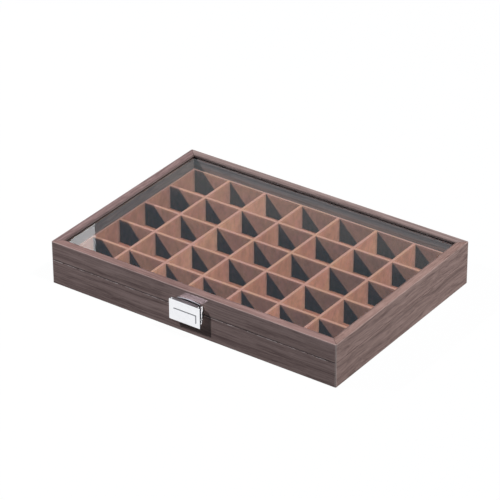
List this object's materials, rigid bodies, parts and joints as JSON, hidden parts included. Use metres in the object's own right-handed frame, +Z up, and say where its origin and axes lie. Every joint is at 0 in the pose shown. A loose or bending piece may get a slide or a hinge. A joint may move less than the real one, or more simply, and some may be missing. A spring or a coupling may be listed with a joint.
{
  "type": "jewelry organizer box",
  "caption": "Low walnut-grain box with a hinged glass lid, a grid of small velvet cells inside and a sprung chrome latch on the front.",
  "frame": {"origin": "centre of the underside, on the face that the box rests on", "axes": "+X along the front, +Y from the latch towards the hinges, +Z up through the glass"},
  "size_m": [0.358, 0.2625, 0.05],
  "materials": {
    "walnut": "satin walnut-grain wrap, mitred corners",
    "walnut_inner": "satin walnut-grain wrap on the lid's inner boards",
    "velvet": "short tan velvet glued over board, folded over the top edges",
    "underside_felt": "black felt sheet glued under the base",
    "bottom_panel": "raw fibreboard",
    "glass": "clear flat glass",
    "latch_chrome": "bright chrome plate on pressed steel",
    "hinge_steel": "nickel-plated steel"
  },
  "bodies": {
    "base": {"base_front_wall": "walnut", "base_right_wall": "walnut", "base_back_wall": "walnut", "base_left_wall": "walnut", "base_underside_felt": "underside_felt", "base_bottom_panel": "bottom_panel", "base_floor_lining": "velvet", "lining_front": "velvet", "lining_right": "velvet", "lining_back": "velvet", "lining_left": "velvet", "long_divider_1": "velvet", "long_divider_2": "velvet", "long_divider_3": "velvet", "long_divider_4": "velvet", "cross_divider_1": "velvet", "cross_divider_2": "velvet", "cross_divider_3": "velvet", "cross_divider_4": "velvet", "cross_divider_5": "velvet", "cross_divider_6": "velvet", "hinge_left_lower_leaf": "hinge_steel", "hinge_left_lower_screw_1": "hinge_steel", "hinge_left_lower_screw_2": "hinge_steel", "hinge_left_pin": "hinge_steel", "hinge_right_lower_leaf": "hinge_steel", "hinge_right_lower_screw_1": "hinge_steel", "hinge_right_lower_screw_2": "hinge_steel", "hinge_right_pin": "hinge_steel", "latch_bracket": "latch_chrome", "bracket_screw_left": "hinge_steel", "bracket_screw_right": "hinge_steel", "latch_pin": "hinge_steel"},
    "lid": {"lid_front_rail": "walnut", "lid_right_rail": "walnut", "lid_back_rail": "walnut", "lid_left_rail": "walnut", "lid_inner_front": "walnut_inner", "lid_inner_right": "walnut_inner", "lid_inner_back": "walnut_inner", "lid_inner_left": "walnut_inner", "lid_glass": "glass", "hinge_left_upper_leaf": "hinge_steel", "hinge_left_upper_screw_1": "hinge_steel", "hinge_left_upper_screw_2": "hinge_steel", "hinge_right_upper_leaf": "hinge_steel", "hinge_right_upper_screw_1": "hinge_steel", "hinge_right_upper_screw_2": "hinge_steel", "latch_keeper": "latch_chrome", "keeper_screw_left": "hinge_steel", "keeper_screw_right": "hinge_steel"},
    "latch_flap": {"latch_flap": "latch_chrome", "latch_spring": "hinge_steel"}
  },
  "joints": [
    {"name": "lid_hinge", "type": "hinge", "parent": "base", "child": "lid", "pos_m": [0, 0.1263, 0.02815], "axis": [-1, 0, 0], "range_deg": [0, 100]},
    {"name": "latch_rock", "type": "hinge", "parent": "base", "child": "latch_flap", "pos_m": [0, -0.1282, 0.025], "axis": [1, 0, 0], "range_deg": [0, 15], "stiffness_Nm_per_rad": 0.05, "springref_deg": -11.46}
  ]
}
